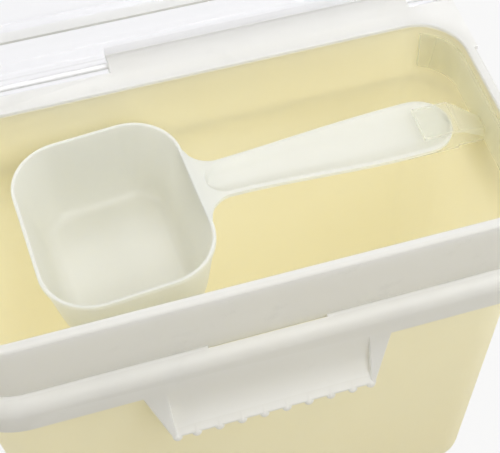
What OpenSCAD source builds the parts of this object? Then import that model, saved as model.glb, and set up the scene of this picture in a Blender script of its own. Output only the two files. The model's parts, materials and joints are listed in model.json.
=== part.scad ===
// Pet food bin: a deep tub with a collar frame, a clear flip lid, and a scoop held inside.
// Frame: +X right, +Y back, +Z up. The origin is the centre of the base, on the floor.
// The lid is drawn open on its stop, and the scoop sits in its holder.

/* [Bin] */
// Height of the rim above the floor
bin_h = 250; // [200:1:320]
// Inside width of the mouth
mouth_w = 251.2; // [244:0.2:300]
// Inside depth of the mouth, front to back
mouth_d = 116.8; // [112:0.2:150]
// Inside corner radius of the mouth
mouth_r = 22.6; // [18:0.2:28]
// Wall thickness of the tub
tub_wall = 2.2; // [1.6:0.1:3]
// How far each tub wall leans in towards the base
tub_draft = 9.8; // [4:0.2:10]
// Thickness of the tub floor
floor_t = 2.4; // [1.8:0.1:4]
// Height of the foot ring under the floor
foot_h = 1.6; // [1:0.1:4]

/* [Collar frame] */
// Thickness of the lip over the top edge of the tub
lip_t = 1.8; // [1.4:0.1:3]
// Wall thickness of the collar
collar_t = 2; // [1.6:0.1:2.6]
// Height of the upstanding neck above the shoulder
neck_h = 32; // [26:1:40]
// How far the shoulder stands out from the neck
shoulder_out = 8; // [7:0.2:12]
// Height of the shoulder, from its top to its lower edge
shoulder_h = 18; // [16:1:26]
// Width of the groove between the neck and the shoulder
groove_w = 1.2; // [0.8:0.1:1.6]
// Width of the slot that takes the lid's front tongue
slot_w = 52; // [30:1:70]
// Depth of the hinge ledge behind the mouth, in front of the barrels
ledge_d = 10.9; // [9:0.1:14]

/* [Grip tab] */
// Width of the grip tab
tab_w = 93.2; // [70:1:110]
// Height of the grip tab below the shoulder
tab_h = 25; // [16:1:32]
// How far the tab's lower lip stands out from the shoulder
tab_out = 9; // [5:0.5:12]
// How late the tab curls outwards, as a power
tab_curl = 4.6; // [2:0.2:6]
// Thickness of the tab
tab_t = 2.4; // [2:0.1:3.2]
// Number of ribs under the tab's lip
tab_ribs = 10; // [5:1:11]
// Distance from one rib to the next
rib_pitch = 10.2; // [6:0.1:11]
// How far the grip tab stands to the right of the middle
tab_shift = -1.7; // [-4:0.1:4]
// Radius of each rib
rib_r = 2.3; // [1.2:0.1:2.4]
// Length of each rib up the back of the tab
rib_len = 5; // [2:0.5:8]

/* [Hinge] */
// Radius of the hinge barrels
barrel_r = 4.7; // [4.2:0.1:5.4]
// Diameter of the hinge pins
pin_d = 3; // [2.4:0.1:3.4]
// Left end of the middle hinge block
block_x0 = -35.5; // [-60:0.5:-20]
// Right end of the middle hinge block
block_x1 = 109.5; // [60:0.5:112]
// How far each pin runs into the middle block
pin_grip = 14; // [8:1:20]
// How far the lid opens from closed
lid_open = 95; // [80:1:110]

/* [Lid] */
// Height of the lid's inner face above the rim
lid_rise = 10.5; // [9:0.5:14]
// Thickness of the lid's top panel
panel_t = 2.2; // [1.8:0.1:3]
// Thickness of the lid's skirt
skirt_t = 2; // [1.6:0.1:2.6]
// Space between the skirt and the neck
skirt_gap = 1.7; // [1.2:0.1:2.2]
// Width of the lip that a thumb lifts
thumb_w = 74; // [50:1:100]
// How far the thumb lip stands out
thumb_out = 7; // [5:0.5:9]
// Width of the gasket
gasket_w = 3.2; // [2.6:0.1:3.8]

/* [Scoop] */
// Outside length of the cup mouth, along the handle
cup_l = 77; // [66:1:84]
// Outside width of the cup mouth, across the handle
cup_w = 91.5; // [76:0.5:96]
// Outside corner radius of the cup mouth
cup_r = 24; // [22:1:30]
// Depth of the cup
cup_h = 42; // [30:1:50]
// Wall thickness of the scoop
cup_wall = 1.6; // [1.2:0.1:2.2]
// Length of the handle from the cup to its tip
handle_l = 123; // [110:1:128]
// Width of the handle where it leaves the cup
handle_w0 = 20; // [16:1:24]
// Widest part of the handle
handle_w1 = 31; // [24:1:34]
// How far the handle drops between the cup and its tip
handle_drop = 8; // [4:0.5:10]
// Depth of the scoop's rim below the rim of the bin
scoop_down = 12; // [10:0.5:18]
// Turn of the scoop about the vertical
scoop_turn = 4.5; // [0:0.5:6]
// Length of the holder's tongue over the handle
tongue_l = 17; // [12:0.5:18]
// Width of the holder's tongue
tongue_w = 18; // [12:0.5:20]

/* [Hidden] */
$fn = 64;

// Clearances
fit = 0.2;            // between pieces that seat on each other
run = 0.05;           // radial, barrel on pin
hold = 0.02;          // radial, pin in frame
side_play = 0.5;      // between a barrel and the frame beside it

// Mouth and neck, as half sizes of the mouth's inner face
mx = mouth_w / 2;
my = mouth_d / 2;
neck_out = tub_wall + fit + collar_t;   // mouth face to the neck's outer face
nx = mx + neck_out;
ny = my + neck_out;
seam_z = bin_h - neck_h;                // top of the shoulder
skirt_z = seam_z - shoulder_h;          // lower edge of the shoulder
sh_out = neck_out + shoulder_out;       // mouth face to the shoulder's outer face
sy = my + sh_out;

// Points of an arc about c, from angle a0 to a1
function arc(c, r, a0, a1, n = 8) =
    [for (i = [0 : n]) let (a = a0 + (a1 - a0) * i / n) c + r * [cos(a), sin(a)]];

// A rounded rectangle between x0, x1, y0 and y1, with corner radii rf in front and rb behind
module plate(x0, x1, y0, y1, rf, rb) {
    for (s = [[x0 + rf, y0 + rf, rf], [x1 - rf, y0 + rf, rf], [x0 + rb, y1 - rb, rb], [x1 - rb, y1 - rb, rb]])
        translate([s[0], s[1]]) circle(s[2]);
    translate([x0 + rf, y0]) square([x1 - x0 - 2 * rf, y1 - y0 - rb]);
    translate([x0 + rb, y0 + rf]) square([x1 - x0 - 2 * rb, y1 - y0 - rf]);
    translate([x0, y0 + rf]) square([x1 - x0, y1 - y0 - rf - rb]);
}

// A profile carried round that rectangle: the profile's x is the distance outwards and its y is the height
module carried(x0, x1, y0, y1, rf, rb) {
    for (c = [[x1 - rf, y0 + rf, rf, -90], [x1 - rb, y1 - rb, rb, 0],
              [x0 + rb, y1 - rb, rb, 90], [x0 + rf, y0 + rf, rf, 180]])
        translate([c[0], c[1], 0]) rotate([0, 0, c[3]])
            rotate_extrude(angle = 90) translate([c[2], 0]) children();
    // front and back
    translate([x0 + rf, y0, 0]) rotate([90, 0, 90]) linear_extrude(x1 - x0 - 2 * rf)
        mirror([1, 0]) children();
    translate([x0 + rb, y1, 0]) rotate([90, 0, 90]) linear_extrude(x1 - x0 - 2 * rb) children();
    // left and right
    translate([x0, y1 - rb, 0]) rotate([90, 0, 0]) linear_extrude(y1 - y0 - rf - rb)
        mirror([1, 0]) children();
    translate([x1, y1 - rb, 0]) rotate([90, 0, 0]) linear_extrude(y1 - y0 - rf - rb) children();
}

// The same two, on the mouth's own outline
module mouth_plate(grow = 0) {
    plate(-mx - grow, mx + grow, -my - grow, my + grow, mouth_r + grow, mouth_r + grow);
}
module mouth_ring() { carried(-mx, mx, -my, my, mouth_r, mouth_r) children(); }

// ---- Tub ----
tub_top = bin_h - lip_t;
ledge_t = 2;                            // the outer ledge that carries the frame
ledge_top = seam_z - groove_w - collar_t;
ledge_out = neck_out + groove_w;
straight_z = ledge_top - 14;            // the walls stand upright above this height
base_fillet = 8;
foot_w = 3;
foot_in = tub_draft + base_fillet - tub_wall + 1 + foot_w / 2;   // mouth face to the middle of the foot ring

module tub_profile() {
    lean = tub_draft;
    bf = base_fillet;
    polygon(concat(
        [[0, tub_top], [tub_wall, tub_top], [tub_wall, ledge_top], [ledge_out, ledge_top],
         [ledge_out, ledge_top - ledge_t], [tub_wall, ledge_top - ledge_t - 2], [tub_wall, straight_z],
         [tub_wall - lean, foot_h + bf]],
        arc([tub_wall - lean - bf, foot_h + bf], bf, 0, -90),
        [[tub_wall - lean - bf - 1, foot_h], [tub_wall - lean - bf - 1, 0],
         [tub_wall - lean - bf - 1 - foot_w, 0], [-lean - bf - 4, foot_h],
         [-lean - bf - 4, foot_h + floor_t]],
        arc([-lean - bf, foot_h + floor_t + bf], bf, -90, 0),
        [[0, straight_z]]));
}

module tub() {
    color("#efe6c0") {
        mouth_ring() tub_profile();
        translate([0, 0, foot_h]) linear_extrude(floor_t)
            mouth_plate(-tub_draft - base_fillet - 2);
        // cross ribs under the floor, level with the foot ring
        for (x = [-1 : 1]) translate([x * mouth_w / 4 - 1, -my + foot_in, 0])
            cube([2, mouth_d - 2 * foot_in, foot_h + 0.2]);
        holder_step();
    }
}

// ---- Collar frame ----
lip_r = 1.4;
sr = shoulder_out - groove_w;           // outer radius of the rounded shoulder
skirt_round = 0.9;

module frame_profile() {
    g0 = neck_out;
    g1 = neck_out + groove_w;
    polygon(concat(
        [[0, tub_top], [0, bin_h - 0.4], [0.4, bin_h]],
        arc([g0 - lip_r, bin_h - lip_r], lip_r, 90, 0, 5),
        [[g0, seam_z - groove_w], [g1, seam_z - groove_w]],
        arc([g1, seam_z - sr], sr, 90, 0, 9),
        arc([sh_out - skirt_round, skirt_z + skirt_round], skirt_round, 0, -90, 3),
        [[sh_out - collar_t, skirt_z]],
        arc([g1, seam_z - sr], sr - collar_t, 0, 90, 8),
        [[g1, ledge_top], [tub_wall + fit, ledge_top], [tub_wall + fit, tub_top]]));
}

// Hinge axis
axis_y = my + ledge_d + barrel_r + 4.4;
axis_z = bin_h - barrel_r + 0.1;
ledge_y = my + ledge_d;                 // rear edge of the ledge beside the barrels
ear_x1 = nx + 1;                        // outer face of the ears
ear_t = 4.5;
barrel_end = ear_x1 - ear_t - side_play;
beam_t = 2.2;
beam_foot = bin_h - 18;                 // where the beam's slope meets the neck

// Section of the middle hinge block, in Y and Z
stop_out = axis_y + 11.5;
stop_z = axis_z + 1.35;
module block_section() {
    polygon(concat(
        [[ny - 0.4, beam_foot], [ny - 0.4, bin_h], [axis_y - 0.4, bin_h]],
        arc([axis_y, axis_z], barrel_r, 88, 18, 8),
        [[stop_out - 1, stop_z - 0.55], [stop_out, stop_z - 1.4], [stop_out, stop_z - 2.6],
         [axis_y + 1, axis_z - barrel_r - 1.5]]));
}
module block_hollow() {
    b = beam_t;
    end = axis_y - barrel_r - 1.5;
    polygon([[ny - 1, beam_foot - 2], [ny - 0.39 + b, beam_foot + 2 * b], [ny - 0.39 + b, bin_h - b],
             [end, bin_h - b], [end, beam_foot - 6], [ny - 1, beam_foot - 6]]);
}
module along_x(x0, x1) { translate([x0, 0, 0]) rotate([90, 0, 90]) linear_extrude(x1 - x0) children(); }

module hinge_beam() {
    // the ledge over the squared rear corners
    translate([0, 0, bin_h - beam_t]) linear_extrude(beam_t) difference() {
        translate([-ear_x1, my - mouth_r]) square([2 * ear_x1, ledge_y - my + mouth_r]);
        mouth_plate(neck_out - lip_r - 0.2);
    }
    // the wall under the ledge's rear edge, and the side walls of the corners
    difference() {
        along_x(-ear_x1, ear_x1) polygon([[ny - 0.4, beam_foot], [ny - 0.4, bin_h - 1],
            [ledge_y, bin_h - 1], [ledge_y, bin_h - 10]]);
        difference() {
            along_x(-ear_x1 + beam_t, ear_x1 - beam_t) polygon([
                [ny - 2, beam_foot - beam_t * 1.6], [ny - 2, bin_h - beam_t],
                [ledge_y - beam_t, bin_h - beam_t], [ledge_y - beam_t, bin_h - 10 - beam_t * 0.3]]);
            for (x = [-ear_x1 : 26 : ear_x1]) translate([x, 0, 0]) cube([1.8, 200, 300]);
        }
        translate([0, 0, -1]) linear_extrude(bin_h + 2) mouth_plate(neck_out - 0.6);
    }
    // the middle block, hollow from below between ribs
    difference() {
        along_x(block_x0, block_x1) block_section();
        difference() {
            along_x(block_x0 + pin_grip + 2, block_x1 - pin_grip - 2) block_hollow();
            for (x = [block_x0 : 26 : block_x1]) translate([x, 0, 0]) cube([1.8, 200, 300]);
        }
    }
    // ears at both ends
    for (s = [-1, 1]) along_x(s > 0 ? ear_x1 - ear_t : -ear_x1, s > 0 ? ear_x1 : -ear_x1 + ear_t) {
        translate([axis_y, axis_z]) circle(barrel_r);
        polygon([[ny - 6, beam_foot + 4], [ny - 6, bin_h], [axis_y, axis_z + barrel_r],
                 [axis_y + barrel_r * 0.5, axis_z - barrel_r * 0.85]]);
    }
}

// Grip tab: a sheet that runs down from the shoulder's outer face and curls outwards.
// Its section is drawn with x outwards from the mouth's face
tab_n = 18;
function tab_k(i) = 1 - pow(1 - i / tab_n, 1.5);
function tab_p(k) = [sh_out + (tab_out - tab_t / 2) * pow(max(k, 0), tab_curl),
                     skirt_z + 3 - (tab_h + 3 - tab_t / 2) * k];
function tab_dir(k) = let (d = tab_p(k + 0.01) - tab_p(k - 0.01)) d / norm(d);
// the sheet's middle line, half the thickness behind its face
function tab_mid(k) = tab_p(k) - tab_t / 2 * [-tab_dir(k)[1], tab_dir(k)[0]];
module tab_section() {
    end = tab_mid(1);
    for (i = [0 : tab_n - 1]) let (a = tab_p(tab_k(i)), b = tab_p(tab_k(i + 1)),
        c = 2 * tab_mid(tab_k(i)) - a, d = 2 * tab_mid(tab_k(i + 1)) - b)
        polygon([a, b, d, c]);
    translate(end) circle(tab_t / 2);
}
end_t = 1.6;                            // thickness of the tab's end walls
gusset_r = 0.8;                         // radius of the gussets' thin edges
gusset_out = 8.2;                       // how far each gusset reaches beyond the tab
module grip_tab() {
    translate([tab_w / 2, -my, 0]) rotate([90, 0, -90]) linear_extrude(tab_w) tab_section();
    // ribs under the lip, the outer two at its corners
    e = tab_w / 2 - rib_r;
    for (i = [0 : tab_ribs - 1]) let (x = (i - (tab_ribs - 1) / 2) * rib_pitch)
        translate([min(max(x, -e), e), -my - tab_mid(1)[0], tab_mid(1)[1] - 1.2]) rotate([-52, 0, 0]) {
            cylinder(r = rib_r, h = rib_len);
            sphere(rib_r, $fn = 24);
        }
    // end walls behind the sheet, and gussets that flare from them to the shoulder's lower edge
    for (s = [-1, 1]) {
        translate([s > 0 ? tab_w / 2 : end_t - tab_w / 2, -my, 0]) rotate([90, 0, -90]) linear_extrude(end_t)
            polygon([for (i = [0 : tab_n]) tab_p(tab_k(i)) - [i > 0 && i < tab_n ? 0.1 : 0, 0]]);
        hull() {
            translate([s * (tab_w / 2 - gusset_r), gusset_r - sy, skirt_z + 2]) sphere(gusset_r, $fn = 12);
            translate([s * (tab_w / 2 + gusset_out), 0.9 - sy, skirt_z + 1.6]) sphere(gusset_r, $fn = 12);
            translate([s * (tab_w / 2 - tab_t / 2), -my - tab_mid(1)[0], tab_mid(1)[1]])
                sphere(tab_t / 2, $fn = 16);
        }
    }
}

rib_gap = 32;
tongue_t = 1;                           // thickness of the lid's front tongue
slot_out = 2;                           // how far the slot reaches from the neck
// A stiffening rib inside the shoulder, its x measured outwards from the mouth's face
module under_rib() {
    g = neck_out + groove_w;
    rotate([90, 0, 0]) translate([0, 0, -0.8]) linear_extrude(1.6) polygon(concat(
        [[g + fit, skirt_z + 10], [g + fit, ledge_top + 0.5]],
        arc([g, seam_z - sr], sr - 0.8, 84, 0, 6),
        [[sh_out - 0.8, skirt_z + 5]]));
}
module under_ribs() {
    for (x = [-mx + mouth_r : rib_gap : mx - mouth_r]) {
        translate([x, my, 0]) rotate([0, 0, 90]) under_rib();
        if (abs(x) > slot_w / 2 + 2) translate([x, -my, 0]) rotate([0, 0, -90]) under_rib();
    }
    for (y = [-my + mouth_r : rib_gap : my - mouth_r]) {
        translate([mx, y, 0]) under_rib();
        translate([-mx, y, 0]) rotate([0, 0, 180]) under_rib();
    }
}

module rim_frame() {
    color("#f4f3ee") difference() {
        union() {
            mouth_ring() frame_profile();
            under_ribs();
            hinge_beam();
            translate([tab_shift, 0, 0]) grip_tab();
        }
        // slot for the lid's front tongue
        translate([-slot_w / 2, -ny - slot_out, seam_z - 9]) cube([slot_w, slot_out, 12]);
        // pin bores
        translate([-ear_x1 - 1, axis_y, axis_z]) rotate([0, 90, 0])
            cylinder(d = pin_d + 2 * hold, h = block_x0 + pin_grip + ear_x1 + 1);
        translate([block_x1 - pin_grip, axis_y, axis_z]) rotate([0, 90, 0])
            cylinder(d = pin_d + 2 * hold, h = ear_x1 + 1 - block_x1 + pin_grip);
    }
}

// ---- Lid ----
lid_in = skirt_gap + neck_out;          // mouth face to the skirt's inner face
tongue_in = skirt_gap - 1.3;            // neck to the front tongue
lid_x = mx + lid_in;
lid_y0 = -my - lid_in;
lid_y1 = axis_y - 4.4;                  // inner face of the rear skirt
lid_rf = mouth_r + lid_in;
lid_rb = 12;
lid_inner_z = bin_h + lid_rise;
lid_top_z = lid_inner_z + panel_t;
skirt_low = seam_z + 1;
edge_r = 4;
field_drop = 0.8;                       // the panel's middle lies lower than its border
field_in = 16;

module lid_profile() {
    er = edge_r;
    polygon(concat(
        [[0, skirt_low], [skirt_t, skirt_low]],
        arc([skirt_t - er, lid_top_z - er], er, 0, 90, 6),
        [[-8, lid_top_z], [-8, lid_inner_z]],
        arc([-er + skirt_t, lid_inner_z - er + skirt_t], er - skirt_t, 90, 0, 4)));
}

module lid_closed() {
    difference() {
        union() {
            carried(-lid_x, lid_x, lid_y0, lid_y1, lid_rf, lid_rb) lid_profile();
            translate([0, 0, lid_inner_z]) linear_extrude(panel_t)
                plate(-lid_x + 7, lid_x - 7, lid_y0 + 7, lid_y1 - 7, lid_rf - 7, 5);
            // two ribs that hold the gasket between them
            mouth_ring() {
                translate([gasket_in - 1.4 - run, lid_inner_z - channel_h]) square([1.4, channel_h + 0.5]);
                translate([gasket_in + gasket_w + run, lid_inner_z - channel_h])
                    square([1.4, channel_h + 0.5]);
            }
            // front tongue and thumb lip
            translate([-slot_w / 2 + 2, -ny - tongue_in - tongue_t, ledge_top + 1.6])
                cube([slot_w - 4, tongue_t, skirt_low + 3 - ledge_top]);
            translate([-slot_w / 2 + 2, lid_y0 - 0.5, skirt_low + 0.4])
                cube([slot_w - 4, skirt_gap + 0.5 - tongue_in, 2.6]);
            thumb_lip();
            barrels();
        }
        // the panel's field
        translate([0, 0, lid_top_z - field_drop]) linear_extrude(field_drop + 1)
            plate(-lid_x + field_in, lid_x - field_in, lid_y0 + field_in, lid_y1 - field_in,
                  lid_rf - field_in, 8);
        // the rear skirt stops above the ledge
        translate([-lid_x - 10, ny - 4, skirt_low - 10])
            cube([2 * lid_x + 20, lid_y1 - ny + 5 + skirt_t, bin_h + side_play - skirt_low + 10]);
    }
    barrels();
}

module thumb_lip() {
    translate([0, 0, skirt_low + 0.6]) linear_extrude(2) intersection() {
        translate([0, lid_y0 - skirt_t]) plate(-thumb_w / 2, thumb_w / 2, -thumb_out, 10, 6, 2);
        translate([-thumb_w, lid_y0 - skirt_t - thumb_out]) square([2 * thumb_w, thumb_out + skirt_t]);
    }
}

module barrel(x0, x1) {
    difference() {
        along_x(x0, x1) {
            translate([axis_y, axis_z]) circle(barrel_r);
            polygon([[lid_y1, axis_z + 0.5], [axis_y, axis_z + 1],
                     [lid_y1 + skirt_t, bin_h + side_play + 2], [lid_y1, bin_h + side_play + 2]]);
        }
        translate([x0 - 1, axis_y, axis_z]) rotate([0, 90, 0]) cylinder(d = pin_d + 2 * run, h = x1 - x0 + 2);
    }
}
module barrels() {
    barrel(-barrel_end, block_x0 - side_play);
    barrel(block_x1 + side_play, barrel_end);
}

module opened() {
    translate([0, axis_y, axis_z]) rotate([-lid_open, 0, 0]) translate([0, -axis_y, -axis_z]) children();
}
module lid() { color("#dfe7ee", 0.6) opened() lid_closed(); }

// ---- Gasket ----
channel_h = 6;
gasket_in = -0.6 - gasket_w;            // mouth face to the gasket's inner face, inside the mouth
gasket_dip = 0.8;                       // how far the gasket dips into the mouth
module lid_gasket() {
    color("#e9ecec") opened() mouth_ring() polygon([
        [gasket_in, lid_inner_z], [gasket_in, lid_inner_z - 4],
        [gasket_in + 0.9, bin_h - gasket_dip], [gasket_in + gasket_w - 0.9, bin_h - gasket_dip],
        [gasket_in + gasket_w, lid_inner_z - 4], [gasket_in + gasket_w, lid_inner_z]]);
}

// ---- Hinge pins ----
module pin(x0, x1) {
    color("#e8e8e4") translate([x0, axis_y, axis_z]) rotate([0, 90, 0]) cylinder(d = pin_d, h = x1 - x0);
}
module hinge_pin_left() { pin(-ear_x1 + 0.5, block_x0 + pin_grip - 0.5); }
module hinge_pin_right() { pin(block_x1 - pin_grip + 0.5, ear_x1 - 0.5); }

// ---- Scoop ----
// Drawn about its cup's centre, with the handle along +X and its rim at Z = 0
scoop_x = -50.5;
scoop_y = 1.8;
cup_lean = 7;                           // how far the cup's walls lean in
cup_fillet = 9;
web_out = 9;                            // how far the flat web runs before the channel starts
flare_r = web_out + 4;                  // radius of the flare on both sides of the web
web_w = handle_w0 + 2 * flare_r - 2;    // width of the web along the cup
channel_d = 6;                          // depth of the handle's channel
hx0 = cup_l / 2 - 1;
hx1 = cup_l / 2 + handle_l;

module cup_profile() {
    t = cup_wall;
    f = cup_fillet;
    polygon(concat(
        [[-t, 0], [0, 0], [0, -2], [-cup_lean, f - cup_h]],
        arc([-cup_lean - f, f - cup_h], f, 0, -90, 7),
        [[-cup_lean - f - 1, -cup_h], [-cup_lean - f - 1, t - cup_h]],
        arc([-cup_lean - f, f - cup_h], f - t, -90, 0, 7)));
}

// Height of the handle's top edges, and half its width, at a share k of its length
function handle_z(k) = -handle_drop * (k * k * (3 - 2 * k) * 0.6 + k * 0.4);
function handle_half(k) = k < 0.86
    ? handle_w0 / 2 + (handle_w1 - handle_w0) / 2 * pow(sin(k / 0.86 * 90), 2)
    : handle_w1 / 2 * pow(1 - pow((k - 0.86) / 0.14, 2.4), 0.5);
ks = [0, 0.12, 0.24, 0.36, 0.48, 0.6, 0.72, 0.8, 0.86, 0.9, 0.935, 0.96, 0.98, 0.992];

module handle_plan(inset = 0) {
    l = hx1 - hx0 - inset;
    polygon(concat(
        [for (k = ks) [hx0 + k * l, -handle_half(k) + inset * (1 - max(k - 0.86, 0))]],
        [for (i = [len(ks) - 1 : -1 : 0])
            [hx0 + ks[i] * l, handle_half(ks[i]) - inset * (1 - max(ks[i] - 0.86, 0))]]));
}
// The band between two heights that follow the handle's curve
module handle_band(top, low) {
    n = 9;
    rotate([90, 0, 0]) translate([0, 0, -60]) linear_extrude(120) polygon(concat(
        [for (i = [0 : n]) [hx0 + i / n * (hx1 - hx0), handle_z(i / n) + top]],
        [for (i = [n : -1 : 0]) [hx0 + i / n * (hx1 - hx0), handle_z(i / n) + low]]));
}

module scoop_flat() {
    difference() {
        union() {
            carried(-cup_l / 2, cup_l / 2, -cup_w / 2, cup_w / 2, cup_r, cup_r) cup_profile();
            translate([0, 0, -cup_h]) linear_extrude(cup_wall)
                plate(-cup_l / 2 + cup_lean + cup_fillet, cup_l / 2 - cup_lean - cup_fillet,
                      -cup_w / 2 + cup_lean + cup_fillet, cup_w / 2 - cup_lean - cup_fillet,
                      cup_r - cup_lean - cup_fillet, cup_r - cup_lean - cup_fillet);
            intersection() {
                translate([0, 0, -40]) linear_extrude(45) handle_plan();
                handle_band(0, -channel_d);
            }
            // the web that flares out to the cup
            translate([0, 0, -2]) linear_extrude(2) difference() {
                translate([hx0, -web_w / 2]) square([web_out + 6, web_w]);
                // the flare is cut to an arc on both sides
                for (s = [-1, 1])
                    translate([hx0 + web_out + 6, s * (handle_w0 / 2 + flare_r)]) circle(flare_r);
            }
        }
        // the channel
        intersection() {
            translate([0, 0, -40]) linear_extrude(45) intersection() {
                handle_plan(1.8);
                union() {
                    translate([hx0 + web_out + 8, 0]) circle(8);
                    translate([hx0 + web_out + 8, -30]) square([200, 60]);
                }
            }
            handle_band(6, -channel_d + cup_wall);
        }
        // the cup stays open
        c = cup_lean + cup_wall + 0.5;
        translate([0, 0, -cup_h + cup_fillet + 2]) linear_extrude(cup_h)
            plate(c - cup_l / 2, cup_l / 2 - c, c - cup_w / 2, cup_w / 2 - c, cup_r - c, cup_r - c);
    }
}
module scoop() {
    color("#f7f7f4") translate([scoop_x, scoop_y, bin_h - scoop_down]) rotate([0, 0, scoop_turn])
        scoop_flat();
}

// ---- Scoop holder ----
// A strip that lies on the right wall and turns round both corners, with a tongue over
// the handle's end and a shelf under it. It sits on a step of the tub's wall.
strip_t = 1.6;
strip_foot = seam_z + 5;
strip_top = bin_h - 6;
strip_run = 15;                         // how far the strip goes round the corners
step_out = 1.3;
tip_x = scoop_x + hx1 * cos(scoop_turn);
tip_z = bin_h - scoop_down - handle_drop;
holder_y = scoop_y + (hx1 - 10) * sin(scoop_turn) - 2.5;
tongue_x0 = tip_x - tongue_l;
tongue_z = tip_z + 3.3;
shelf_z = tip_z - channel_d - 0.4;
module right_end() {
    intersection() {
        children();
        translate([mx - strip_run, -my - 1, 0]) cube([strip_run + 10, 2 * my + 2, bin_h]);
    }
}

module scoop_holder() {
    color("#ece3c2") {
        x1 = mx - fit;
        x0 = x1 - strip_t;
        right_end() mouth_ring() translate([-fit - strip_t, strip_foot])
            square([strip_t, strip_top - strip_foot]);
        // tongue, and the arm that runs down from it to the strip
        tx = tongue_x0 + tongue_l;
        translate([tongue_x0, holder_y - tongue_w / 2, tongue_z]) cube([tongue_l, tongue_w, 1.6]);
        intersection() {
            translate([0, 60, 0]) rotate([90, 0, 0]) linear_extrude(120) polygon([
                [tx - 0.6, tongue_z], [tx - 0.6, tongue_z + 1.6], [tx + 2, tongue_z + 1.2],
                [x0 + 0.5, tongue_z - 3], [x0 + 0.5, tongue_z - 9], [tx + 2, tongue_z - 1]]);
            linear_extrude(bin_h) polygon([
                [tx - 0.6, holder_y - tongue_w / 2], [x0 + 0.5, holder_y - tongue_w / 2 + 1],
                [x0 + 0.5, holder_y - 1], [tx + 1, holder_y + tongue_w / 2 - 1],
                [tx - 0.6, holder_y + tongue_w / 2]]);
        }
        // shelf, which starts nearer to the cup than the tongue does, and its link
        translate([tongue_x0 - 7, holder_y - tongue_w / 2, shelf_z - 1.8])
            cube([tx + 1 - tongue_x0 + 7, tongue_w, 1.8]);
        translate([tx, holder_y - tongue_w / 2 + 1, shelf_z - 1.8])
            cube([x0 + 0.5 - tx, tongue_w / 2 - 2, 1.8]);
    }
}
// The step that carries the strip, on the tub's wall
module holder_step() {
    right_end() mouth_ring() polygon([[0.1, strip_foot - fit - 4], [-step_out, strip_foot - fit - 1.4],
        [-step_out, strip_foot - fit], [0.1, strip_foot - fit]]);
}

tub();
rim_frame();
lid();
lid_gasket();
hinge_pin_left();
hinge_pin_right();
scoop();
scoop_holder();
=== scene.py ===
"""The looks of a pet food bin: ivory tub, white collar frame, clear lid, scoop and holder.

Sizes are in millimetres in this file and in metres in the scene. +X is the bin's right,
+Y its back and +Z up, with the origin at the centre of the base.
"""

import json
import logging
import math
from dataclasses import dataclass
from enum import Enum
from typing import Any, Optional, Union

import bmesh
import bpy
import numpy as np
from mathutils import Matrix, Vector

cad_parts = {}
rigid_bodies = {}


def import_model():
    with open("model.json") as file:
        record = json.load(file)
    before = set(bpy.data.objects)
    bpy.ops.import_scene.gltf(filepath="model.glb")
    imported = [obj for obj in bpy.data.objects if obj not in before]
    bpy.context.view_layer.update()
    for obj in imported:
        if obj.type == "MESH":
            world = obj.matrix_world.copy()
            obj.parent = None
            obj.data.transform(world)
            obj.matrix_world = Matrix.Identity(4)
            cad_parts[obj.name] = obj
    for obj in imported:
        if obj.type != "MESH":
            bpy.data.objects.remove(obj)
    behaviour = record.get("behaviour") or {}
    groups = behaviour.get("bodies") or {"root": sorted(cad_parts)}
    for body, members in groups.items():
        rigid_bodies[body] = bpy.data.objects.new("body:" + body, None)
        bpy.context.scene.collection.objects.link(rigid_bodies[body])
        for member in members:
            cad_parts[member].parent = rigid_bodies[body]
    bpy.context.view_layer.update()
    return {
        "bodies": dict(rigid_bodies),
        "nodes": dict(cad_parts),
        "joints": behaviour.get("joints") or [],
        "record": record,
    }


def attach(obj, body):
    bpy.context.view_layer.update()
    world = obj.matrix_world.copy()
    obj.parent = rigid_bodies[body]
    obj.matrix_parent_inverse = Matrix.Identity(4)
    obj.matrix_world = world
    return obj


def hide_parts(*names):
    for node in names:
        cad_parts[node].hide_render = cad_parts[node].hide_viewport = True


LOG = logging.getLogger("food_bin")
MM = 0.001
PLASTIC_IOR = 1.49
DOUBLES = 2e-6      # metres within which points are one
DEGENERATE = 1e-7   # metres below which an edge is nothing
Array = np.ndarray
Colour = tuple[float, float, float]
Point = tuple[float, float, float]
Operand = Union["Value", float]
Socket = Union[int, str]
WHITE_LIGHT: Colour = (1.0, 1.0, 1.0)


def srgb(r: float, g: float, b: float) -> Colour:
    """Turns a screen colour into the linear colour that a shader takes.

    A channel c of 0 to 1 becomes c / 12.92 up to 0.04045, and ((c + 0.055) / 1.055)^2.4 above.

    Args:
        r: red, 0 to 255.
        g: green, 0 to 255.
        b: blue, 0 to 255.

    Returns:
        The linear colour, 0 to 1.
    """
    c = np.array([r, g, b]) / 255.0
    lin = np.where(c <= 0.04045, c / 12.92, ((c + 0.055) / 1.055) ** 2.4)
    return tuple(float(v) for v in lin)


# ---------------------------------------------------------------- shader maths


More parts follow.
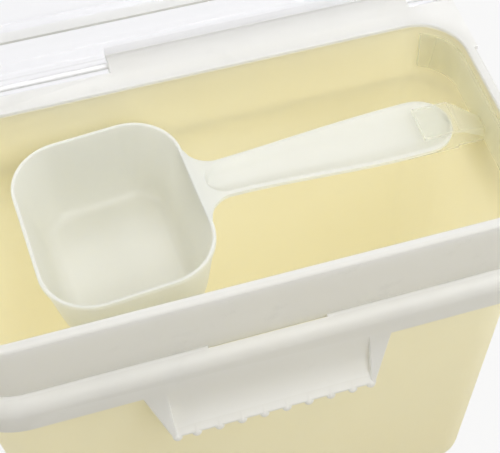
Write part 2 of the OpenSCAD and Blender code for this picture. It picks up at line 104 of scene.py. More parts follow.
class Value:
    """A shader socket that can be used in sums, so that node maths reads as a formula."""

    def __init__(self, shop: "Shop", socket: bpy.types.NodeSocket) -> None:
        """Keeps the socket and the workshop that makes its nodes."""
        self.shop = shop
        self.socket = socket

    def _math(self, operation: str, a: Operand, b: Optional[Operand] = None) -> "Value":
        """Adds one Math node for an operation on one or two values."""
        inputs = {0: a} if b is None else {0: a, 1: b}
        return self.shop.node("ShaderNodeMath", {"operation": operation}, inputs)

    def __add__(self, other: Operand) -> "Value":
        """Sum."""
        return self._math("ADD", self, other)

    __radd__ = __add__

    def __sub__(self, other: Operand) -> "Value":
        """Difference."""
        return self._math("SUBTRACT", self, other)

    def __rsub__(self, other: Operand) -> "Value":
        """Difference, the other way round."""
        return self._math("SUBTRACT", other, self)

    def __mul__(self, other: Operand) -> "Value":
        """Product."""
        return self._math("MULTIPLY", self, other)

    __rmul__ = __mul__

    def __pow__(self, other: Operand) -> "Value":
        """Power."""
        return self._math("POWER", self, other)

    def clamp(self) -> "Value":
        """Keeps the value between 0 and 1.

        Returns:
            The value, cut off at both ends.
        """
        out = self._math("ADD", self, 0.0)
        out.socket.node.use_clamp = True
        return out

    def ramp(self, low: float, high: float) -> "Value":
        """Rises smoothly from 0 at low to 1 at high."""
        return self.shop.node(
            "ShaderNodeMapRange",
            {"interpolation_type": "SMOOTHSTEP"},
            {"Value": self, "From Min": low, "From Max": high},
        )


class Kept(Enum):
    """What a node tree is kept as: its place in the file's data and the node that ends it."""

    MATERIAL = ("materials", "ShaderNodeOutputMaterial")
    WORLD = ("worlds", "ShaderNodeOutputWorld")


class Shop:
    """The nodes of one material or world, with one method that makes any of them."""

    def __init__(self, name: str, kept: Kept = Kept.MATERIAL) -> None:
        """Starts a material or a world with an empty node tree.

        Args:
            name: its name.
            kept: whether it is a material or a world.
        """
        place, self.output = kept.value
        self.made = getattr(bpy.data, place).new(name)
        self.made.use_nodes = True
        self.tree = self.made.node_tree
        self.tree.nodes.clear()

    def node(
        self,
        kind: str,
        settings: Optional[dict[str, Any]] = None,
        inputs: Optional[dict[Socket, Any]] = None,
        output: Socket = 0,
    ) -> Value:
        """Adds a node.

        Args:
            kind: the node's type.
            settings: its own settings, set first.
            inputs: values or links of its sockets, by name or number.
            output: which output is returned.

        Returns:
            The output socket, ready for sums.
        """
        made = self.tree.nodes.new(kind)
        for key, value in (settings or {}).items():
            setattr(made, key, value)
        for key, value in (inputs or {}).items():
            if isinstance(value, Value):
                self.tree.links.new(value.socket, made.inputs[key])
            elif isinstance(value, tuple) and len(value) == 3 and made.inputs[key].type == "RGBA":
                made.inputs[key].default_value = (*value, 1.0)
            else:
                made.inputs[key].default_value = value
        return Value(self, made.outputs[output])

    def place(self, scale: Optional[Point] = None) -> Value:
        """The point on the piece, in metres of its own space.

        Args:
            scale: how much the space is stretched along each axis, if it is.

        Returns:
            The point.
        """
        point = self.node("ShaderNodeTexCoord", output="Object")
        if scale is None:
            return point
        return self.node("ShaderNodeMapping", {}, {"Vector": point, "Scale": scale})

    def noise(
        self, scale: float, detail: float = 2.0, rough: float = 0.5, stretch: Optional[Point] = None
    ) -> Value:
        """Adds soft noise of 0 to 1.

        Args:
            scale: how many lumps lie in a metre.
            detail: how many finer layers are added.
            rough: how strong the finer layers are.
            stretch: how much faster the noise changes along each axis.

        Returns:
            The noise.
        """
        return self.node(
            "ShaderNodeTexNoise",
            {},
            {"Vector": self.place(stretch), "Scale": scale, "Detail": detail, "Roughness": rough},
        )

    def blend(self, factor: Operand, a: Union[Value, Colour], b: Union[Value, Colour]) -> Value:
        """Mixes two colours.

        Args:
            factor: how far the colour has gone from a to b, 0 to 1.
            a: the colour at 0.
            b: the colour at 1.

        Returns:
            The mixed colour.
        """
        made = self.tree.nodes.new("ShaderNodeMix")
        made.data_type = "RGBA"
        for socket, value in ((made.inputs[0], factor), (made.inputs[6], a), (made.inputs[7], b)):
            if isinstance(value, Value):
                self.tree.links.new(value.socket, socket)
            elif isinstance(value, tuple):
                socket.default_value = (*value, 1.0)
            else:
                socket.default_value = value
        return Value(self, made.outputs[2])

    def finish(self, shader: Value) -> Union[bpy.types.Material, bpy.types.World]:
        """Joins the shader to the output.

        Args:
            shader: what the surface is, or the light around.

        Returns:
            The finished material or world.
        """
        out = self.tree.nodes.new(self.output)
        self.tree.links.new(shader.socket, out.inputs["Surface"])
        return self.made


# ------------------------------------------------------------------- finishes


@dataclass(frozen=True)
class MouldedPlastic:
    """A moulded plastic: its colour with slow drift, a fine grain, edges lightened as rubbed wear and
    painted highlight, and hairlines.
    """

    name: str
    colour: Colour
    drift: Colour
    # edge colour: rubbed wear plus a painted highlight on convex edges
    rub_and_highlight_colour: Colour
    roughness: float = 0.34
    grain: float = 0.10
    translucency: float = 0.0
    through: Colour = WHITE_LIGHT
    specular: float = 0.45
    flow_scale: float = 14.0
    cloud_scale: float = 70.0
    grain_scale: float = 2600.0
    hairline_scale: float = 900.0
    cross_scale: float = 1100.0
    hairline: float = 0.05
    # strength and pointiness range of the edge lightening, partly wear and partly painted highlight
    rub_and_highlight: float = 0.8
    rub_and_highlight_range: tuple[float, float] = (0.53, 0.62)
    bump_strength: float = 0.22
    bump_depth: float = 0.00012

    def material(self) -> bpy.types.Material:
        """Builds the node tree of this finish.

        Returns:
            The material. Colour drifts by slow noise. Edges are lighter and smoother by the pointiness of
            the surface: partly rubbed wear, partly a painted highlight on convex edges. The bump
            adds three noises: the slow flow of the melt, the grain of the mould and stretched
            hairline scratches. A thin plastic also passes its share of scattered light.
        """
        shop = Shop(self.name)
        slow = shop.noise(self.flow_scale, 3.0)
        cloud = shop.noise(self.cloud_scale, 4.0, 0.6)
        point = shop.node("ShaderNodeNewGeometry", output="Pointiness")
        # painted highlight, partly rubbed wear: convex edges, found by pointiness, are lightened towards
        # the edge colour
        edge = point.ramp(*self.rub_and_highlight_range) * self.rub_and_highlight
        along = shop.noise(self.hairline_scale, 3.0, 0.6, (1.0, 0.06, 0.35))
        across = shop.noise(self.cross_scale, 3.0, 0.6, (0.08, 1.0, 0.5))
        lines = (along.ramp(0.62, 0.78) + across.ramp(0.64, 0.8)).clamp()
        wear = (lines * cloud.ramp(0.42, 0.7)).clamp()
        base = shop.blend((slow * 0.7 + cloud * 0.3).ramp(0.3, 0.7), self.colour, self.drift)
        # edges take the lighter edge colour as painted highlight and wear; hairline scratches take it as
        # wear
        base = shop.blend((edge + wear * 0.25).clamp(), base, self.rub_and_highlight_colour)
        grain = shop.noise(self.grain_scale, 2.0, 0.6)
        rough = (
            self.roughness + (cloud - 0.5) * 0.10 + (grain - 0.5) * 0.06 - edge * 0.06 + wear * 0.12
        ).clamp()
        height = grain * self.grain + slow * 0.8 - lines * self.hairline
        bump = shop.node(
            "ShaderNodeBump",
            {},
            {"Strength": self.bump_strength, "Distance": self.bump_depth, "Height": height},
        )
        shader = shop.node(
            "ShaderNodeBsdfPrincipled",
            {},
            {
                "Base Color": base,
                "Roughness": rough,
                "Normal": bump,
                "IOR": PLASTIC_IOR,
                "Specular IOR Level": self.specular,
            },
        )
        if self.translucency > 0:
            passed = shop.node(
                "ShaderNodeBsdfTranslucent", {}, {"Color": self.through, "Normal": bump}
            )
            shader = shop.node("ShaderNodeMixShader", {}, {0: self.translucency, 1: shader, 2: passed})
        return shop.finish(shader)


@dataclass(frozen=True)
class ClearPlastic:
    """Clear moulded plastic that light passes through, with faint flow lines and fine scratches."""

    name: str
    tint: Colour
    edge_tint: Colour
    see_through: float = 0.93
    bare_tint: Colour = (0.99, 0.99, 1.0)
    flow_scale: float = 18.0
    mark_scale: float = 1400.0
    cloud_scale: float = 60.0
    bump_strength: float = 0.15
    bump_depth: float = 0.0002

    def material(self) -> bpy.types.Material:
        """Builds the node tree of this finish.

        Returns:
            The material: a clear refracting shader mixed with a plain see-through one, so that
            light reaches what lies under the lid. The mix follows the angle of the surface.
        """
        shop = Shop(self.name)
        flow = shop.noise(self.flow_scale, 2.0)
        fine = shop.noise(self.mark_scale, 2.0, 0.6, (1.0, 0.08, 0.4))
        cloud = shop.noise(self.cloud_scale, 3.0)
        marks = fine.ramp(0.64, 0.8) * cloud.ramp(0.45, 0.7)
        height = flow - marks * 0.05
        bump = shop.node(
            "ShaderNodeBump",
            {},
            {"Strength": self.bump_strength, "Distance": self.bump_depth, "Height": height},
        )
        facing = shop.node("ShaderNodeLayerWeight", {}, {"Blend": 0.35}, "Facing")
        rim = (facing**3.0) * 0.9
        clear = shop.node(
            "ShaderNodeBsdfPrincipled",
            {},
            {
                "Base Color": shop.blend(rim, self.tint, self.edge_tint),
                "Roughness": (0.03 + marks * 0.25).clamp(),
                "Normal": bump,
                "IOR": PLASTIC_IOR,
                "Transmission Weight": 1.0,
            },
        )
        bare = shop.node("ShaderNodeBsdfTransparent", {}, {"Color": self.bare_tint})
        path = shop.node("ShaderNodeLightPath", output="Is Shadow Ray")
        weight = (1.0 - (facing**2.2) * 0.85) * self.see_through
        factor = (weight + path).clamp()
        shader = shop.node("ShaderNodeMixShader", {}, {0: factor, 1: clear, 2: bare})
        return shop.finish(shader)


@dataclass(frozen=True)
class FrostedPlastic:
    """Thin natural plastic that shows what is behind it as through milk."""

    name: str
    colour: Colour
    milk: float
    scattered: float = 0.5
    bare_tint: Colour = (0.99, 0.985, 0.96)
    slow_scale: float = 40.0
    grain_scale: float = 2400.0
    bump_strength: float = 0.2
    bump_depth: float = 0.0001

    def material(self) -> bpy.types.Material:
        """Builds the node tree of this finish.

        Returns:
            The material: plain plastic, light that passes through scattered, and a clear
            share that grows where the surface faces the eye.
        """
        shop = Shop(self.name)
        slow = shop.noise(self.slow_scale, 3.0)
        grain = shop.noise(self.grain_scale, 2.0, 0.6)
        height = grain * 0.1 + slow
        bump = shop.node(
            "ShaderNodeBump",
            {},
            {"Strength": self.bump_strength, "Distance": self.bump_depth, "Height": height},
        )
        plain = shop.node(
            "ShaderNodeBsdfPrincipled",
            {},
            {
                "Base Color": shop.blend(slow, self.colour, tuple(c * 0.97 for c in self.colour)),
                "Roughness": (0.3 + (grain - 0.5) * 0.08).clamp(),
                "Normal": bump,
                "IOR": PLASTIC_IOR,
            },
        )
        passed = shop.node("ShaderNodeBsdfTranslucent", {}, {"Color": self.colour, "Normal": bump})
        body = shop.node("ShaderNodeMixShader", {}, {0: self.scattered, 1: plain, 2: passed})
        bare = shop.node("ShaderNodeBsdfTransparent", {}, {"Color": self.bare_tint})
        facing = shop.node("ShaderNodeLayerWeight", {}, {"Blend": 0.4}, "Facing")
        factor = ((1.0 - facing * 0.8) * (1.0 - self.milk)).clamp()
        return shop.finish(shop.node("ShaderNodeMixShader", {}, {0: factor, 1: body, 2: bare}))


class Finish(Enum):
    """The finishes of this bin's pieces."""

    # the third colour of each moulded finish is its edge colour: rubbed wear plus a painted highlight
    IVORY = MouldedPlastic(
        "ivory_plastic", srgb(252, 248, 226), srgb(251, 246, 222), srgb(253, 251, 237),
        roughness=0.42, grain=0.12, translucency=0.43, through=(1.0, 0.985, 0.88),
    )
    WHITE = MouldedPlastic(
        "white_plastic", srgb(235, 235, 232), srgb(233, 232, 228), srgb(241, 241, 239),
        roughness=0.34, grain=0.14, translucency=0.38, through=(1.0, 0.995, 0.98),
    )
    SCOOP = MouldedPlastic(
        "scoop_plastic", srgb(226, 228, 228), srgb(223, 225, 224), srgb(228, 230, 229),
        roughness=0.3, grain=0.08, translucency=0.42, through=(1.0, 0.997, 0.95),
    )
    HOLDER = FrostedPlastic("frosted_plastic", srgb(240, 242, 236), milk=0.08)
    PIN = MouldedPlastic(
        "pin_plastic", srgb(240, 240, 238), srgb(236, 236, 232), srgb(246, 246, 244),
        roughness=0.3, grain=0.05,
    )
    GASKET = MouldedPlastic(
        "gasket_rubber", srgb(221, 221, 218), srgb(217, 217, 214), srgb(227, 227, 224),
        roughness=0.55, grain=0.2, translucency=0.15, through=(1.0, 1.0, 1.0), specular=0.3,
    )
    CLEAR = ClearPlastic("clear_plastic", (0.992, 0.992, 0.998), (0.5, 0.5, 0.76))


# ------------------------------------------------------------------- geometry


def softened(corners: Array, cuts: Array, steps: int) -> Array:
    """Rounds the corners of an open outline.

    Each corner C is replaced by the curve (1-t)^2 A + 2t(1-t) C + t^2 B, where A and B lie on
    its two edges at the corner's cut length, or at 0.48 of the edge if that is shorter. The two
    ends stay where they are.

    Args:
        corners: the outline's corners.
        cuts: the cut length at each corner.
        steps: points along each curve, less one.

    Returns:
        The points, as many for each corner.
    """
    c = corners
    before = np.roll(c, 1, axis=0) - c
    after = np.roll(c, -1, axis=0) - c
    len_b = np.linalg.norm(before, axis=1, keepdims=True)
    len_a = np.linalg.norm(after, axis=1, keepdims=True)
    cut = cuts[:, None]
    most = 0.48
    a = c + before / len_b * np.minimum(cut, most * len_b)
    b = c + after / len_a * np.minimum(cut, most * len_a)
    a[[0, -1]] = b[[0, -1]] = c[[0, -1]]
    t = np.linspace(0.0, 1.0, steps + 1)[None, :, None]
    curve = (1 - t) ** 2 * a[:, None] + 2 * t * (1 - t) * c[:, None] + t**2 * b[:, None]
    return curve.reshape(-1, c.shape[1])


@dataclass(frozen=True)
class RoundedRect:
    """A rounded rectangle in plan, about the origin."""

    half_x: float
    half_y: float
    corner: float

    def trace(self, arc_steps: int, side_steps: int) -> tuple[Array, Array]:
        """Goes round the outline against the clock.

        Each corner's points are its centre plus its radius times (cos a, sin a), and each
        side's are evenly spaced between two corners.

        Args:
            arc_steps: steps in each corner.
            side_steps: steps along each side.

        Returns:
            The points and their outward normals.
        """
        cx, cy = self.half_x - self.corner, self.half_y - self.corner
        centre = np.array([[cx, -cy], [cx, cy], [-cx, cy], [-cx, -cy]])
        start_angle = np.radians([-90.0, 0.0, 90.0, 180.0])
        angle = start_angle[:, None] + np.linspace(0, np.pi / 2, arc_steps + 1)
        normal = np.stack([np.cos(angle), np.sin(angle)], -1)
        arc = centre[:, None] + self.corner * normal
        s = np.linspace(0, 1, side_steps + 1)[1:-1][None, :, None]
        start, end = arc[:, -1:], np.roll(arc[:, :1], -1, axis=0)
        side = start + s * (end - start)
        side_n = np.repeat(normal[:, -1:], side_steps - 1, axis=1)
        points = np.concatenate([arc, side], 1).reshape(-1, 2)
        return points, np.concatenate([normal, side_n], 1).reshape(-1, 2)


def carried(outline: RoundedRect, profile: Array, arc_steps: int, side_steps: int) -> Array:
    """Carries a profile round an outline.

    Each point is the outline's point plus the profile's distance out times the outward normal,
    at the profile's height.

    Args:
        outline: the outline in plan.
        profile: distances out and heights.
        arc_steps: steps in each corner.
        side_steps: steps along each side.

    Returns:
        The points, by the outline's points and then the profile's.
    """
    p, n = outline.trace(arc_steps, side_steps)
    xy = p[:, None] + n[:, None] * profile[None, :, 0, None]
    z = np.broadcast_to(profile[None, :, 1], xy.shape[:2])
    return np.dstack([xy, z])


def turned_z(points: Array, degrees: float) -> Array:
    """Turns points about the vertical through the origin.

    A point (x, y) goes to (x cos a - y sin a, x sin a + y cos a), and its height stays.

    Args:
        points: the points.
        degrees: the angle a, against the clock seen from above.

    Returns:
        The turned points.
    """
    a = math.radians(degrees)
    out = points.copy()
    out[..., 0] = points[..., 0] * math.cos(a) - points[..., 1] * math.sin(a)
    out[..., 1] = points[..., 0] * math.sin(a) + points[..., 1] * math.cos(a)
    return out


class Skin:
    """Collects surface grids and flat ends, and makes one closed mesh of them."""

    def __init__(self) -> None:
        """Starts with nothing in it."""
        self.points: list[Array] = []
        self.faces: list[list[int]] = []
        self.count = 0

    def grid(self, g: Array, wrap_u: bool = False, wrap_v: bool = False) -> "Skin":
        """Adds a grid of points as four-sided faces.

        Args:
            g: points by rows and columns.
            wrap_u: whether the last row joins the first.
            wrap_v: whether the last column joins the first.

        Returns:
            This skin.
        """
        rows, cols = g.shape[:2]
        index = np.arange(rows * cols).reshape(rows, cols) + self.count
        if wrap_u:
            index = np.concatenate([index, index[:1]], 0)
        if wrap_v:
            index = np.concatenate([index, index[:, :1]], 1)
        quads = np.stack([index[:-1, :-1], index[1:, :-1], index[1:, 1:], index[:-1, 1:]], -1)
        self.points.append(g.reshape(-1, 3))
        self.faces += quads.reshape(-1, 4).tolist()
        self.count += rows * cols
        return self

    def cap(self, loop: Array) -> "Skin":
        """Adds one flat face.

        Args:
            loop: the points round it.

        Returns:
            This skin.
        """
        self.points.append(loop)
        self.faces.append(list(range(self.count, self.count + len(loop))))
        self.count += len(loop)
        return self

    def shrunk(self, loop: Array, rows: int = 5) -> "Skin":
        """Closes a loop with rows that draw in to its middle.

        Each row is middle + share times (loop - middle), with shares that fall from 1 to 0.

        Args:
            loop: the points round the opening.
            rows: how many rows there are, the loop and the middle among them.

        Returns:
            This skin.
        """
        middle = loop.mean(0)
        share = np.linspace(1, 0, rows)[:, None, None]
        return self.grid(middle + share * (loop - middle)[None], wrap_v=True)

    def mesh(self, name: str) -> bpy.types.Mesh:
        """Makes the mesh of all that was added.

        Args:
            name: the mesh's name.

        Returns:
            The mesh, in metres, with its doubles merged and its faces turned outwards.
        """
        mesh = bpy.data.meshes.new(name)
        points = np.concatenate(self.points) * MM
        mesh.from_pydata(points.tolist(), [], self.faces)
        tool = bmesh.new()
        tool.from_mesh(mesh)
        bmesh.ops.remove_doubles(tool, verts=tool.verts, dist=DOUBLES)
        bmesh.ops.dissolve_degenerate(tool, edges=tool.edges, dist=DEGENERATE)
        bmesh.ops.recalc_face_normals(tool, faces=tool.faces)
        tool.to_mesh(mesh)
        tool.free()
        return mesh


@dataclass
class Piece:
    """One finished piece: its mesh, finish and the body that it rides on."""

    name: str
    mesh: bpy.types.Mesh
    finish: Finish
    body: str
    slot: str
    stands_for: tuple[str, ...]
    crease: float = 40.0
    bevel: float = 0.0
    bevel_from: float = 38.0

    def put(self, materials: dict[Finish, bpy.types.Material]) -> bpy.types.Object:
        """Puts the piece in the scene, smooth but for its creases.

        Args:
            materials: the material of each finish.

        Returns:
            The object.
        """
        obj = bpy.data.objects.new(self.name, self.mesh)
        bpy.context.scene.collection.objects.link(obj)
        self.mesh.materials.clear()
        self.mesh.materials.append(materials[self.finish])
        self.mesh.shade_smooth()
        if self.bevel > 0:
            bevel = obj.modifiers.new("soft_edges", "BEVEL")
            bevel.width = self.bevel * MM
            bevel.segments = 2
            bevel.limit_method = "ANGLE"
            bevel.angle_limit = math.radians(self.bevel_from)
            bevel.use_clamp_overlap = True
        else:
            self.mesh.set_sharp_from_angle(angle=math.radians(self.crease))
        weighted = obj.modifiers.new("even_shade", "WEIGHTED_NORMAL")
        weighted.keep_sharp = True
        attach(obj, self.body)
        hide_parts(*self.stands_for)
        LOG.info("%s: %d faces", self.name, len(self.mesh.polygons))
        return obj


def cad_copy(frame: dict[str, Any], node: str) -> bpy.types.Mesh:
    """Copies the mesh of a CAD node.

    Args:
        node: the node's name.

    Returns:
        The copy, with its doubles merged and its flat triangles joined.
    """
    mesh = frame["nodes"][node].data.copy()
    mesh.name = node + "_soft"
    tool = bmesh.new()
    tool.from_mesh(mesh)
    bmesh.ops.remove_doubles(tool, verts=tool.verts, dist=DOUBLES)
    flat = math.radians(0.6)
    bmesh.ops.dissolve_limit(tool, angle_limit=flat, verts=tool.verts, edges=tool.edges)
    tool.to_mesh(mesh)
    tool.free()
    if "custom_normal" in mesh.attributes:
        mesh.attributes.remove(mesh.attributes["custom_normal"])
    return mesh


def copied(
    frame: dict[str, Any], name: str, finish: Finish, body: str, node: str, edge: float
) -> Piece:
    """Makes a piece of the copy of one CAD node.

    Args:
        name: the piece's name.
        finish: its finish, whose name is also its slot.
        body: the body that it rides on.
        node: the CAD node that it copies and stands for.
        edge: how wide its edges are softened, in millimetres.

    Returns:
        The piece.
    """
    mesh = cad_copy(frame, node)
    return Piece(name, mesh, finish, body, finish.value.name, (node,), bevel=edge)


# --------------------------------------------------------------- sub-assemblies


@dataclass
class Tub:
    """The ivory tub: walls that bend inwards below the collar, rounded floor and foot ring."""

    half_x: float = 125.6
    half_y: float = 58.4
    corner: float = 22.6
    top: float = 248.2
    wall: float = 2.2
    lean: float = 9.8
    upright: float = 202.0
    ledge_top: float = 214.8
    ledge_out: float = 5.6
    ledge_h: float = 2.0
    ledge_root: float = 4.0
    floor: float = 4.0
    fillet: float = 8.0
    foot: float = 1.6
    foot_w: float = 3.0
    foot_inset: float = 1.0
    foot_slope: float = 1.0
    bend: float = 95.0
    edge: float = 0.5
    curve_steps: int = 7
    arc_steps: int = 20
    side_steps: int = 10
    crease: float = 50.0

    def mesh(self) -> bpy.types.Mesh:
        """The tub as one skin.

        An open profile is carried round the mouth's inner face. It runs from the inner floor
        over the mouth and the ledge under the collar to the foot ring, and both of its ends are
        closed at the middle.

        Returns:
            The mesh.
        """
        w, f, e, bend = self.wall, self.fillet, self.edge, self.bend
        low = w - self.lean
        ring = low - f - self.foot_inset
        floor_in = -20.0
        base_in = -22.0
        corners_and_cuts = [
            (floor_in, self.floor, 0),
            (-self.lean, self.floor, f),
            (0.0, self.upright, bend),
            (0.0, self.top, e),
            (w, self.top, e),
            (w, self.ledge_top, 0.3),
            (self.ledge_out, self.ledge_top, e),
            (self.ledge_out, self.ledge_top - self.ledge_h, e),
            (w, self.ledge_top - self.ledge_root, e),
            (w, self.upright, bend),
            (low, self.foot, f),
            (ring, self.foot, 0.6),
            (ring, 0.0, e),
            (ring - self.foot_w, 0.0, e),
            (ring - self.foot_w - self.foot_slope, self.foot, 0.6),
            (base_in, self.foot, 0),
        ]
        table = np.array(corners_and_cuts)
        profile = softened(table[:, :2], table[:, 2], self.curve_steps)
        mouth = RoundedRect(self.half_x, self.half_y, self.corner)
        g = carried(mouth, profile, self.arc_steps, self.side_steps)
        skin = Skin().grid(g, wrap_u=True)
        skin.shrunk(g[:, 0]).shrunk(g[:, -1])
        return skin.mesh("tub_skin")

    def pieces(self) -> list[Piece]:
        """The tub in its finish, on the bin's body."""
        mesh = self.mesh()
        return [Piece("tub_shell", mesh, Finish.IVORY, "bin", "ivory_plastic", ("tub",), self.crease)]


@dataclass
class Collar:
    """The white collar frame over the tub's edge, the CAD node with softened edges."""

    frame: dict[str, Any]
    edge: float = 0.35

    def pieces(self) -> list[Piece]:
        """The collar frame in its finish, on the bin's body."""
        return [copied(self.frame, "collar_frame", Finish.WHITE, "bin", "rim_frame", self.edge)]


@dataclass
class Lid:
    """The clear lid and the gasket inside it, the CAD nodes with softened edges."""

    frame: dict[str, Any]
    edge: float = 0.3

    def pieces(self) -> list[Piece]:
        """The lid and the gasket in their finishes, on the lid's body."""
        return [
            copied(self.frame, "clear_lid", Finish.CLEAR, "lid", "lid", self.edge),
            copied(self.frame, "gasket_ring", Finish.GASKET, "lid", "lid_gasket", self.edge),
        ]


@dataclass
class HingePins:
    """The two pins that the lid turns on, the CAD nodes with softened edges."""

    frame: dict[str, Any]
    edge: float = 0.3

    def pieces(self) -> list[Piece]:
        """Both pins in their finish, on the bin's body."""
        return [
            copied(self.frame, f"pin_{side}", Finish.PIN, "bin", f"hinge_pin_{side}", self.edge)
            for side in ("left", "right")
        ]


@dataclass
class Scoop:
    """The white scoop: a drafted cup with rounded corners and a long channelled handle."""

    centre: Point = (-50.5, 1.8, 238.0)
    turn: float = 4.5
    length: float = 77.0
    width: float = 91.5
    corner: float = 24.0
    depth: float = 42.0
    lean: float = 7.0
    fillet: float = 12.0
    floor_inset: float = 3.0
    wall: float = 1.6
    rim_h: float = 2.6
    rim_step: float = 0.7
    rim_slope: float = 0.4
    handle: float = 123.0
    handle_w0: float = 20.0
    handle_w1: float = 31.0
    round_from: float = 0.86
    drop: float = 8.0
    trough: float = 3.6
    trough_start: float = 43.0
    trough_edge: float = 1.7
    trough_arc: float = 8.0
    trough_run: float = 60.0
    flare: float = 13.0
    thickness: float = 1.7
    curve_steps: int = 8
    arc_steps: int = 18
    side_steps: int = 8
    crease: float = 60.0

    def place(self, g: Array) -> Array:
        """Turns the scoop's own points and moves them to its place."""
        return turned_z(g, self.turn) + np.array(self.centre)

    def cup(self, skin: Skin) -> None:
        """Adds the cup, one profile from the inner floor over the rim to the outer floor.

        Args:
            skin: what the cup is added to.
        """
        t, lean, d, f = self.wall, self.lean, self.depth, self.fillet
        floor_in = -lean - f - self.floor_inset
        corners_and_cuts = [
            (floor_in, t - d, 0),
            (-lean - t, t - d, f),
            (-t, 0.0, 0.7),
            (0.0, 0.0, 0.7),
            (0.0, -self.rim_h, 0.3),
            (-self.rim_step, -self.rim_h - self.rim_slope, 0.5),
            (-lean, -d, f),
            (floor_in, -d, 0),
        ]
        table = np.array(corners_and_cuts)
        profile = softened(table[:, :2], table[:, 2], self.curve_steps)
        rim = RoundedRect(self.length / 2, self.width / 2, self.corner)
        g = self.place(carried(rim, profile, self.arc_steps, self.side_steps))
        skin.grid(g, wrap_u=True)
        skin.shrunk(g[:, 0]).shrunk(g[:, -1])

    def grip(self, skin: Skin) -> None:
        """Adds the handle.

        At a share k of the length the half width is w(k) and the top edge has height z(k).
        Across the handle the upper face is a round trough, z - depth * (1 - |u|^3.2)^1.3, where
        u is the distance from the middle over the trough's own reach, which starts as an arc.
        The lower face follows it at the handle's thickness, with a rolled edge on both sides.

        Args:
            skin: what the handle is added to.
        """
        x0 = self.length / 2 - 1.0
        x1 = self.length / 2 + self.handle
        # stations along the handle, closest together at the flare and at the round end
        k = np.concatenate([
            np.linspace(0, 0.02, 3),
            np.linspace(0.02, 0.14, 34)[1:],
            np.linspace(0.14, 0.85, 44)[1:],
            0.85 + 0.15 * np.sin(np.linspace(0, 1, 22)[1:] * np.pi / 2),
        ])
        x = x0 + k * (x1 - x0)
        # half width: a slow rise from w0 to w1, then a round end
        w0, w1, r = self.handle_w0 / 2, self.handle_w1 / 2, self.round_from
        rise = np.sin(np.clip(k / r, 0, 1) * np.pi / 2) ** 2
        past = np.clip(k - r, 0, 1) / (1 - r)
        half = np.where(k < r, w0 + (w1 - w0) * rise, w1 * np.sqrt(np.clip(1 - past**2.4, 0, 1)))
        # the flare is an arc that starts at the cup's wall
        left = np.clip(x0 + self.flare + 1 - x, 0, self.flare)
        wide = half + self.flare - np.sqrt(np.clip(self.flare**2 - left**2, 0, None))
        top = -self.drop * (k * k * (3 - 2 * k) * 0.6 + k * 0.4)
        run = x - self.trough_start
        round_in = np.sqrt(np.clip(1 - np.clip(1 - run / self.trough_arc, 0, 1) ** 2, 0, 1))
        reach = np.maximum((half - self.trough_edge) * round_in, 1e-3)
        depth = self.trough * (0.72 + 0.28 * np.clip(run / self.trough_run, 0, 1))
        v = np.sin(np.linspace(-1, 1, 61) * np.pi / 2)
        across = wide[:, None] * v[None]
        u = np.clip(np.abs(across) / reach[:, None], 0, 1)
        dip = depth[:, None] * (1 - u**3.2) ** 1.3 * (run[:, None] > 0)
        height = top[:, None] - dip - 0.3 * np.abs(v[None]) ** 16
        upper = np.stack([np.broadcast_to(x[:, None], across.shape), across, height], -1)
        lower = upper[:, ::-1].copy()
        lower[..., 1] *= 0.985
        lower[..., 2] -= (self.thickness + 0.5 * np.abs(v) ** 6)[None]
        g = self.place(np.concatenate([upper, lower], 1))
        skin.grid(g, wrap_v=True)
        skin.cap(g[0])

    def mesh(self) -> bpy.types.Mesh:
        """The cup and the handle as one skin.

        Returns:
            The mesh.
        """
        skin = Skin()
        self.cup(skin)
        self.grip(skin)
        return skin.mesh("scoop_skin")

    def pieces(self) -> list[Piece]:
        """The scoop in its finish, on the scoop's body."""
        mesh = self.mesh()
        return [Piece("scoop_body", mesh, Finish.SCOOP, "scoop", "scoop_plastic", ("scoop",), self.crease)]


@dataclass
class Holder:
    """The frosted clip that holds the handle's end, the CAD node with softened edges."""

    frame: dict[str, Any]
    edge: float = 0.35

    def pieces(self) -> list[Piece]:
        """The holder in its finish, on the bin's body."""
        return [copied(self.frame, "holder_clip", Finish.HOLDER, "bin", "scoop_holder", self.edge)]


@dataclass
class Bin:
    """The whole bin, from its sub-assemblies."""

    frame: dict[str, Any]

    def build(self) -> None:
        """Makes every finish and puts every piece in its place."""
        materials = {finish: finish.value.material() for finish in Finish}
        parts = (
            Tub(),
            Collar(self.frame),
            Lid(self.frame),
            HingePins(self.frame),
            Scoop(),
            Holder(self.frame),
        )
        pieces = [piece for part in parts for piece in part.pieces()]
        for piece in pieces:
            piece.put(materials)


# ------------------------------------------------------------ floor, lights, camera


@dataclass(frozen=True)
class Lamp:
    """A square soft lamp: its name, where it hangs in metres and its power in watts."""

    name: str
    place: Point
    watts: float
    side: float = 0.8

    def hang(self, target: Point) -> None:
        """Hangs the lamp.

        Args:
            target: the point that it faces.
        """
        data = bpy.data.lights.new(self.name, "AREA")
        data.shape = "SQUARE"
        data.size = self.side
        data.energy = self.watts
        obj = bpy.data.objects.new(self.name, data)
        obj.location = self.place
        aim = Vector(target) - Vector(self.place)
        obj.rotation_euler = aim.to_track_quat("-Z", "Y").to_euler()
        bpy.context.scene.collection.objects.link(obj)


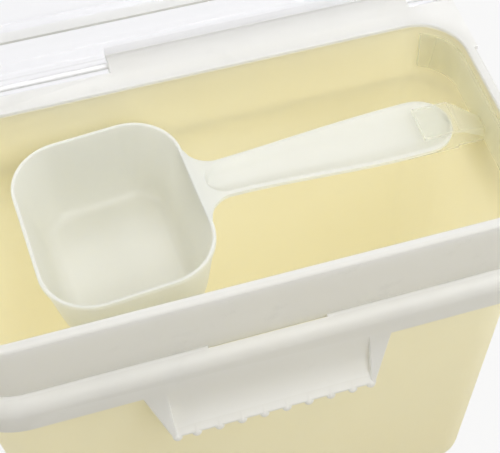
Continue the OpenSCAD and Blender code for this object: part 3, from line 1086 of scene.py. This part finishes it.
@dataclass
class Studio:
    """The pale floor, the even surround, the soft lamps and the camera."""

    glow: float = 0.9
    surround: float = 0.1
    surround_colour: Colour = (1.0, 0.99, 0.96)
    paper: Colour = (0.44, 0.43, 0.41)
    fibre: Colour = (0.47, 0.46, 0.44)
    floor_size: float = 6.0
    floor_z: float = -0.0006
    target: Point = (0.0, 0.0, 0.2)
    lamps: tuple[Lamp, ...] = (
        Lamp("key", (0.35, -0.66, 1.5), 7.9),
        Lamp("front", (0.35, -1.15, 1.15), 7.1),
        Lamp("back", (0.1, 0.7, 1.3), 5.7),
        Lamp("right", (1.3, 0.0, 1.1), 5.6),
        Lamp("left", (-1.3, 0.0, 1.1), 7.1),
    )
    eye: Point = (-0.06333, -0.31525, 0.65218)
    eye_azimuth: float = -17.08
    eye_elevation: float = 53.0
    lens: float = 86.4
    shift: tuple[float, float] = (-0.1, -0.053)

    @staticmethod
    def seen(shop: Shop) -> Value:
        """Tells the rays that show the background from those that light the bin.

        Args:
            shop: where the nodes are added.

        Returns:
            1 for rays from the camera, a gloss or a clear piece, else 0.
        """
        camera = shop.node("ShaderNodeLightPath", output="Is Camera Ray")
        glossy = shop.node("ShaderNodeLightPath", output="Is Glossy Ray")
        through = shop.node("ShaderNodeLightPath", output="Is Transmission Ray")
        return (camera + glossy + through).clamp()

    def floor(self) -> None:
        """A wide pale floor that keeps the bin's shadow."""
        x, y = np.array([-1, 1, 1, -1]), np.array([-1, -1, 1, 1])
        corners = np.stack([x * self.floor_size, y * self.floor_size, np.full(4, self.floor_z)], -1)
        mesh = bpy.data.meshes.new("paper_floor")
        mesh.from_pydata(corners.tolist(), [], [[0, 1, 2, 3]])
        shop = Shop("paper")
        colour = shop.blend(shop.noise(300.0, 3.0), self.paper, self.fibre)
        plain = shop.node(
            "ShaderNodeBsdfPrincipled",
            {},
            {"Base Color": colour, "Roughness": 0.9, "Specular IOR Level": 0.1},
        )
        light = shop.node("ShaderNodeEmission", {}, {"Color": WHITE_LIGHT, "Strength": 1.0})
        share = self.seen(shop) * self.glow
        shader = shop.node("ShaderNodeMixShader", {}, {0: share, 1: plain, 2: light})
        mesh.materials.append(shop.finish(shader))
        obj = bpy.data.objects.new("paper_floor", mesh)
        bpy.context.scene.collection.objects.link(obj)

    def world(self) -> None:
        """A soft even surround, white where it is seen."""
        shop = Shop("surround", Kept.WORLD)
        soft = shop.node(
            "ShaderNodeBackground", {}, {"Color": self.surround_colour, "Strength": self.surround}
        )
        white = shop.node("ShaderNodeBackground", {}, {"Color": WHITE_LIGHT, "Strength": 1.0})
        shader = shop.node("ShaderNodeMixShader", {}, {0: self.seen(shop), 1: soft, 2: white})
        bpy.context.scene.world = shop.finish(shader)

    def camera(self) -> None:
        """The camera, above the front left of the bin, looking down into its mouth."""
        data = bpy.data.cameras.new("eye")
        data.sensor_width = 36.0
        data.lens = self.lens
        data.shift_x, data.shift_y = self.shift
        data.clip_start = 0.01
        obj = bpy.data.objects.new("eye", data)
        a, e = math.radians(self.eye_azimuth), math.radians(self.eye_elevation)
        obj.location = self.eye
        away = Vector((math.sin(a) * math.cos(e), -math.cos(a) * math.cos(e), math.sin(e)))
        obj.rotation_euler = away.to_track_quat("Z", "Y").to_euler()
        bpy.context.scene.collection.objects.link(obj)
        bpy.context.scene.camera = obj

    def build(self) -> None:
        """Sets up everything around the bin."""
        self.floor()
        self.world()
        for lamp in self.lamps:
            lamp.hang(self.target)
        self.camera()
        scene = bpy.context.scene
        scene.cycles.diffuse_bounces = 10
        scene.cycles.max_bounces = 16
        scene.view_settings.view_transform = "Standard"


def main() -> None:
    """Builds the bin and the studio."""
    logging.basicConfig(level=logging.INFO, format="%(message)s")
    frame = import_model()
    Bin(frame).build()
    Studio().build()


if __name__ == "__main__":
    main()
